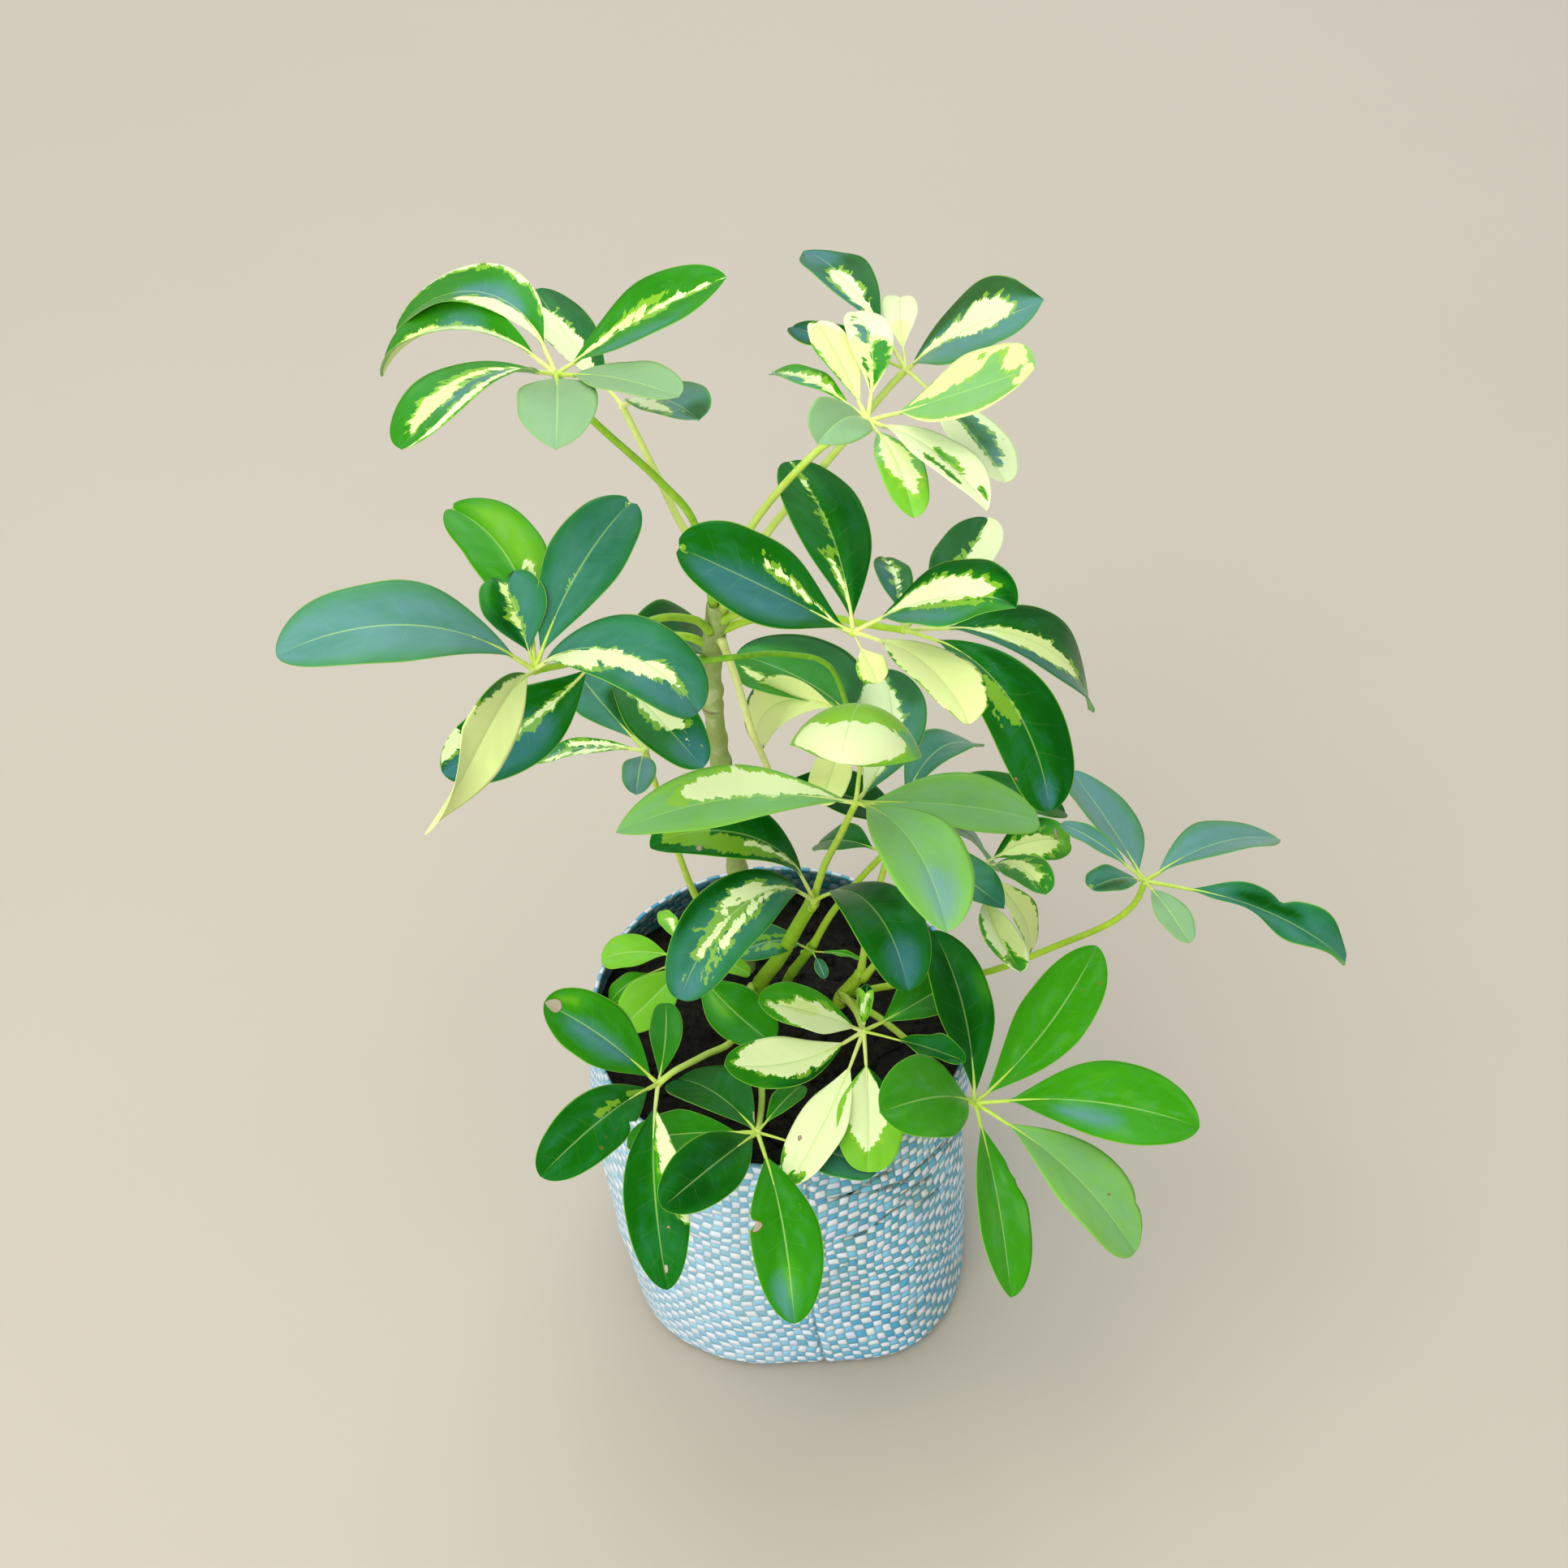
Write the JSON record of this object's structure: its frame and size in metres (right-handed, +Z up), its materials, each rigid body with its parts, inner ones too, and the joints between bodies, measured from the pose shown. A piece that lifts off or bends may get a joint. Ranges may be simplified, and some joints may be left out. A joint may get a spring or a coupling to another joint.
{
  "type": "potted umbrella plant",
  "caption": "Variegated umbrella plant with palm-like leaves on long stalks, planted in a round woven grow bag that stands on a flat base.",
  "frame": {"origin": "centre of the bag's flat base, on the surface that it stands on", "axes": "+Z up; -Y towards the side that the plant is seen from; +X to the right of that side"},
  "size_m": [0.4966, 0.3485, 0.6736],
  "materials": {
    "bag_weave": "woven plastic tape, satin",
    "soil": "moist and crumbly",
    "bark": "matt, with leaf scars",
    "green_stem": "satin",
    "leaf_green": "glossy, cream variegation",
    "leaf_pale": "glossy, mostly cream",
    "young_shoot": "satin"
  },
  "bodies": {
    "root": {"bag_wall": "bag_weave", "bag_base": "bag_weave", "soil": "soil", "main_stem": "bark", "front_stem": "green_stem", "right_stem": "green_stem", "inner_stem": "green_stem", "leaf_top_left": "leaf_green", "leaf_top_left_back": "leaf_green", "leaf_top_right": "leaf_pale", "leaf_top_right_back": "leaf_green", "leaf_mid_left": "leaf_green", "leaf_mid_left_back": "leaf_green", "leaf_long_stalk": "leaf_green", "leaf_crown_front": "leaf_green", "leaf_crown_right": "leaf_green", "leaf_crown_under": "leaf_green", "leaf_front_upper": "leaf_green", "leaf_front_lower": "leaf_green", "leaf_second_stem": "leaf_green", "leaf_behind_stem": "leaf_green", "leaf_pale_right": "leaf_pale", "leaf_far_right": "leaf_green", "leaf_inner_right": "leaf_green", "leaf_low_right": "leaf_green", "leaf_pale_centre": "leaf_pale", "leaf_low_left": "leaf_green", "leaf_low_front": "leaf_green", "leaf_rim_left": "leaf_green", "leaf_sprout": "leaf_green", "new_shoot": "young_shoot"}
  },
  "joints": []
}
